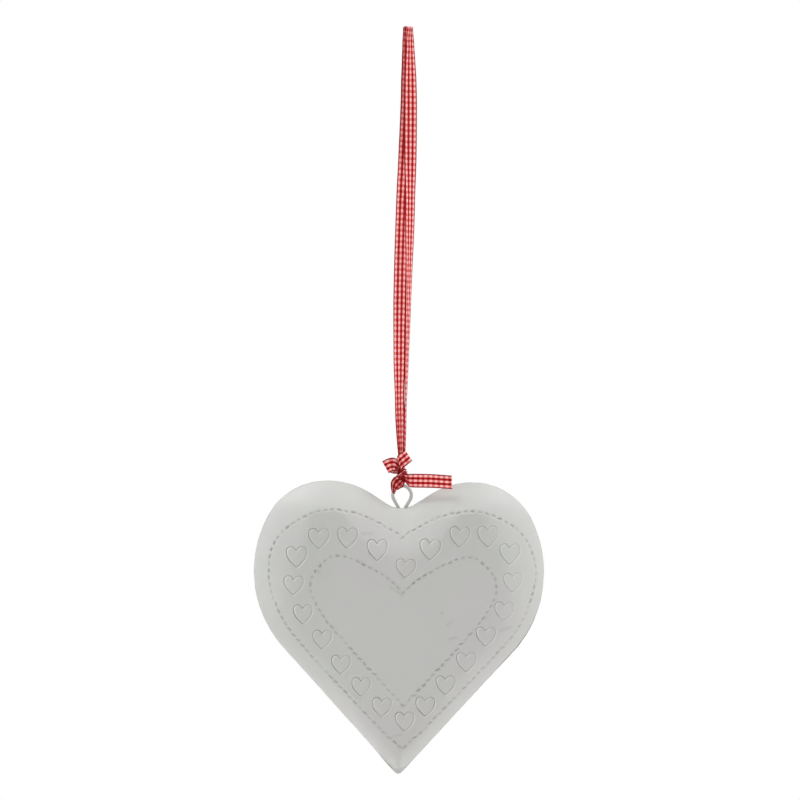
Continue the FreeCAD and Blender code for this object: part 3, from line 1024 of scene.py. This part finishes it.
def pressPattern(bm, form):
    samples = []
    for a, b, strength, width in pressedLines(form):
        count = max(int((b - a).length / form["sampleStep"]), 1)
        for part in range(count + 1):
            place = a.lerp(b, part / count)
            samples.append((place - leanAt(place), strength, width))
    tree = treeOf([sample[0] for sample in samples])
    refineNear(bm, tree, form)
    press = bm.verts.layers.float["press"]
    for vert in bm.verts:
        if vert.co.y > form["frontFrom"]:
            continue
        place, number, distance = tree.find((vert.co.x, 0, vert.co.z))
        if distance > form["reach"]:
            continue
        strength, width = samples[number][1:]
        groove = math.exp(-(distance / width) ** 2)
        ridge = lipAt(distance, width, form["ridgeAt"], form)
        vert.co.y += strength * (form["grooveDepth"] * groove - form["ridge"] * ridge)
        # the lip to the lower right of each small heart's groove is painted lighter as a highlight
        away = Vector((vert.co.x, 0, vert.co.z)) - place
        paintedHighlight = max(away.normalized().dot(Vector(form["highlightSide"])), 0) * (width < form["stitchWidth"])
        paintedHighlight *= form["highlightShare"] * lipAt(distance, width, form["highlightAt"], form)
        vert[press] = strength * (groove - paintedHighlight)


# Soft dents of the hand-pressed sheet, each with its scale and depth
dentForm = {"broad": (0.030, 0.22), "small": (0.085, 0.07), "edge": (0.055, 0.10), "flatten": 0.4,
            "from": 0.5, "over": 2.0}


def dentSheet(bm, form, seed):
    shift = Vector((seed * 17.0, seed * 5.0, 0))
    for vert in bm.verts:
        x, y, z = vert.co
        depth = held((abs(y) - form["from"]) / form["over"])
        place = Vector((x, y * form["flatten"], z))
        broad, small = [noise.noise(place * form[dent][0] + shift) * form[dent][1]
                        for dent in ("broad", "small")]
        vert.co.y += (broad + small) * depth
        rim = noise.noise(Vector((x, 0, z)) * form["edge"][0]) * form["edge"][1]
        away = Vector((x, 0, z)) - Vector(heartForm["middle"])
        vert.co += away.normalized() * rim if away.length > 1 else Vector()


def leanHeart(bm):
    for vert in bm.verts:
        vert.co += leanAt(vert.co)


# Rings of faces between the rim and the crown, and inside the crown
shellRings = {"front": (24, 16), "back": (16, 10), "inside": (10, 5), "innerGap": 0.5}


def makeShell(name, node, rings, pattern, turned, seed):
    form = heartForm
    bm = bmesh.new()
    bm.verts.layers.float.new("ring")
    bm.verts.layers.float.new("press")
    outerRim = shellSide(bm, form, 0.0, *rings, form["depth"])
    if pattern:
        pressPattern(bm, pattern)
    innerDepth = form["depth"] - form["sheet"] - shellRings["innerGap"]
    innerRim = shellSide(bm, form, form["sheet"], *shellRings["inside"], innerDepth)
    bmesh.ops.bridge_loops(bm, edges=outerRim + innerRim)
    dentSheet(bm, dentForm, seed)
    leanHeart(bm)
    if turned:
        bmesh.ops.scale(bm, vec=(1, -1, 1), verts=bm.verts)
    bmesh.ops.recalc_face_normals(bm, faces=bm.faces)
    print(name, "faces", len(bm.faces))
    return makePiece(name, bm, tinPaint, "heart", [node])


frontShell = makeShell("frontShell", "front_shell", shellRings["front"], pressedForm, False, 1)
backShell = makeShell("backShell", "back_shell", shellRings["back"], None, True, 2)
print("stage: shells")


# The soldered seam between the shells, an uneven bead that is thicker left of the tip
seamForm = {
    "profile": [(0.45, -0.29), (-0.08, -0.29), (-0.2, -0.14), (-0.24, 0.0), (-0.2, 0.14),
                (-0.08, 0.29), (0.45, 0.29)],
    "uneven": (0.11, 0.35),  # rise and scale
    # x, z, reach, rise and darkness of the two runs that show; the darkness is painted shade along the
    # seam's edge
    "runs": [(-4.5, -328.5, 6.0, 0.5, 0.6), (51.0, -274.5, 17.0, 0.25, 1.1)],
    "gapShade": 0.5,
    "gapFrom": (-238.0, -262.0),
    "gapBeyond": 0.2,
}


def makeSeam(form):
    bm = bmesh.new()
    press = bm.verts.layers.float.new("press")
    loops = []
    for inset, y in form["profile"]:
        known = set(bm.verts)
        loop = drawHeart(bm, inset, y)
        loops.append(loop)
        for vert in bm.verts:
            if vert in known or inset > 0:
                continue
            away = (vert.co - Vector(heartForm["middle"])).normalized()
            uneven = form["uneven"][0] * noise.noise(vert.co * form["uneven"][1])
            for x, z, reach, rise, dark in form["runs"]:
                near = math.exp(-(math.hypot(vert.co.x - x, vert.co.z - z) / reach) ** 2)
                uneven += rise * near
                vert[press] = max(vert[press], dark * near)
            top, foot = form["gapFrom"]
            gap = form["gapShade"] * held((top - vert.co.z) / (top - foot))
            away.y = 0
            vert.co += away * uneven
            vert[press] = max(vert[press], gap if abs(y) > form["gapBeyond"] else 0.0)
    for first, second in zip(loops, loops[1:] + loops[:1]):
        bmesh.ops.bridge_loops(bm, edges=first + second)
    leanHeart(bm)
    bmesh.ops.recalc_face_normals(bm, faces=bm.faces)
    return makePiece("seamSolder", bm, solderPaint, "heart", ["seam_solder"])


seamSolder = makeSeam(seamForm)


# The wire eye: a round wire bent to a teardrop, its legs splayed under the cleft
wireForm = {
    "radius": 0.75,
    "sides": 20,
    "topZ": -204.95,
    "eyeRadius": 4.15,
    "eyeTurn": 119.7,
    "eyeSteps": 40,
    "straight": 3.65,
    "straightSteps": 4,
    "bendRadius": 1.9,
    "bendSteps": 18,
    "legHeading": 33.0,
    "leg": 4.2,
    "cutEnd": (0.25, 0.7),  # length and how far it narrows
    "wander": (0.05, 0.5),  # reach and scale
}


class Wire:
    # one round section, drawn along the wire's middle line with spins and extrusions
    def __init__(self, bm, form):
        self.bm = bm
        self.place = Vector((0, 0, form["topZ"]))
        self.heading = 0.0
        ring = bmesh.ops.create_circle(bm, cap_ends=False, segments=form["sides"],
                                       radius=form["radius"])["verts"]
        upright = Matrix.Rotation(math.radians(90), 3, "Y")
        bmesh.ops.rotate(bm, verts=ring, cent=(0, 0, 0), matrix=upright)
        bmesh.ops.translate(bm, verts=ring, vec=self.place)
        self.section = list(ring) + list(bm.edges)

    def ahead(self, turn=0.0):
        return headed(self.heading + turn)

    def edges(self):
        return [item for item in self.section if isinstance(item, bmesh.types.BMEdge)]

    def bend(self, radius, turn, steps):
        side = math.copysign(90, turn)
        centre = self.place + self.ahead(side) * radius
        self.section = spinOn(self.bm, self.section, centre, turn, steps)
        self.place = centre - self.ahead(side + turn) * radius
        self.heading += turn

    def run(self, length, squeeze=1.0):
        verts, edges = extrudeEdges(self.bm, self.edges())
        step = self.ahead() * length
        bmesh.ops.translate(self.bm, verts=verts, vec=step)
        self.place = self.place + step
        space = Matrix.Translation(-self.place)
        bmesh.ops.scale(self.bm, verts=verts, vec=(squeeze, squeeze, squeeze), space=space)
        self.section = verts + edges


def makeEye(form):
    bm = bmesh.new()
    bm.verts.layers.float.new("press")
    wire = Wire(bm, form)
    wire.bend(form["eyeRadius"], -form["eyeTurn"], form["eyeSteps"])
    for _ in range(form["straightSteps"]):
        wire.run(form["straight"] / form["straightSteps"])
    wire.bend(form["bendRadius"], form["legHeading"] - wire.heading, form["bendSteps"])
    wire.run(form["leg"])
    wire.run(*form["cutEnd"])
    bmesh.ops.edgeloop_fill(bm, edges=wire.edges())
    half = list(bm.verts) + list(bm.edges) + list(bm.faces)
    bmesh.ops.mirror(bm, geom=half, matrix=Matrix.Identity(4), merge_dist=0.01, axis="X")
    reach, scale = form["wander"]
    for vert in bm.verts:
        vert.co += Vector((1, 0, 1)) * reach * noise.noise(vert.co * scale)
    bmesh.ops.recalc_face_normals(bm, faces=bm.faces)
    return makePiece("wireEye", bm, wirePaint, "heart", ["wire_eye"])


wireEye = makeEye(wireForm)


# Solder that holds both legs on the floor of the cleft
solderForm = {"size": (2.55, 2.0, 0.85), "place": (-0.1, 0.0, -215.7), "uneven": (0.2, 0.9)}


def makeSolder(form):
    bm = bmesh.new()
    bm.verts.layers.float.new("press")
    blob = bmesh.ops.create_icosphere(bm, subdivisions=4, radius=1.0)["verts"]
    bmesh.ops.scale(bm, vec=form["size"], verts=blob)
    bmesh.ops.translate(bm, vec=form["place"], verts=blob)
    rise, scale = form["uneven"]
    for vert in bm.verts:
        vert.co += vert.normal * rise * noise.noise(vert.co * scale)
    return makePiece("eyeSolder", bm, solderPaint, "heart", ["eye_solder"])


eyeSolder = makeSolder(solderForm)
print("stage: heart soldered")


# Plain pale floor, white behind, and soft light from a world and six soft boxes
studio = {
    "floorZ": -0.44,
    "floorRadius": 1.15,
    "floorColour": (0.86, 0.86, 0.85),
    "floorShade": (0.8, 0.8, 0.79),
    "floorTint": 0.02,
    "world": 0.45,
    "boxes": [  # name, place, size and power
        ("frontBox", (-0.1, -1.7, 0.3), 1.2, 0.6),
        ("leftBox", (-1.5, -0.4, -0.3), 1.2, 11.0),
        ("rightBox", (1.5, -0.4, -0.3), 1.2, 11.0),
        ("topLeftBox", (-0.8, -0.1, 1.0), 0.7, 12.6),
        ("topRightBox", (0.8, -0.1, 1.0), 0.7, 12.6),
        ("rearBox", (0.1, 1.7, 0.3), 1.2, 4.0),
    ],
    "aim": (0.0, 0.0, -0.26),
}


def lightStudio(setup):
    world = bpy.data.worlds.new("studio")
    scene.world = world
    world.use_nodes = True
    tree = world.node_tree
    link = tree.links.new
    surround = tree.nodes["Background"]
    white = tree.nodes.new("ShaderNodeBackground")
    for light, strength in ((surround, setup["world"]), (white, 1.0)):
        light.inputs["Color"].default_value = (1, 1, 1, 1)
        light.inputs["Strength"].default_value = strength
    rays = tree.nodes.new("ShaderNodeLightPath")
    seen = rays.outputs["Is Camera Ray"]
    for name in ("Is Glossy Ray", "Is Transmission Ray"):
        joined = tree.nodes.new("ShaderNodeMath")
        joined.operation = "MAXIMUM"
        link(seen, joined.inputs[0])
        link(rays.outputs[name], joined.inputs[1])
        seen = joined.outputs[0]
    mixed = tree.nodes.new("ShaderNodeMixShader")
    link(seen, mixed.inputs[0])
    link(surround.outputs[0], mixed.inputs[1])
    link(white.outputs[0], mixed.inputs[2])
    link(mixed.outputs[0], tree.nodes["World Output"].inputs[0])
    for name, place, size, power in setup["boxes"]:
        lamp = bpy.data.lights.new(name, "AREA")
        lamp.shape = "SQUARE"
        lamp.size = size
        lamp.energy = power
        holder = bpy.data.objects.new(name, lamp)
        scene.collection.objects.link(holder)
        holder.location = place
        towards = Vector(setup["aim"]) - Vector(place)
        holder.rotation_euler = towards.to_track_quat("-Z", "Y").to_euler()


def layFloor(setup):
    bm = bmesh.new()
    bmesh.ops.create_circle(bm, cap_ends=True, segments=96, radius=setup["floorRadius"])
    bmesh.ops.translate(bm, vec=(0, 0, setup["floorZ"]), verts=bm.verts)
    mesh = bpy.data.meshes.new("floor")
    bm.to_mesh(mesh)
    bm.free()
    paint = Paint("floor")
    tint = paint.noise(paint.place(), 3.0) * setup["floorTint"]
    colour = paint.mix(tint, setup["floorColour"], setup["floorShade"])
    mesh.materials.append(paint.finish(Base_Color=colour, Roughness=0.9))
    floor = bpy.data.objects.new("floor", mesh)
    scene.collection.objects.link(floor)


lightStudio(studio)
layFloor(studio)
scene.view_settings.view_transform = "Standard"
print("stage: studio")
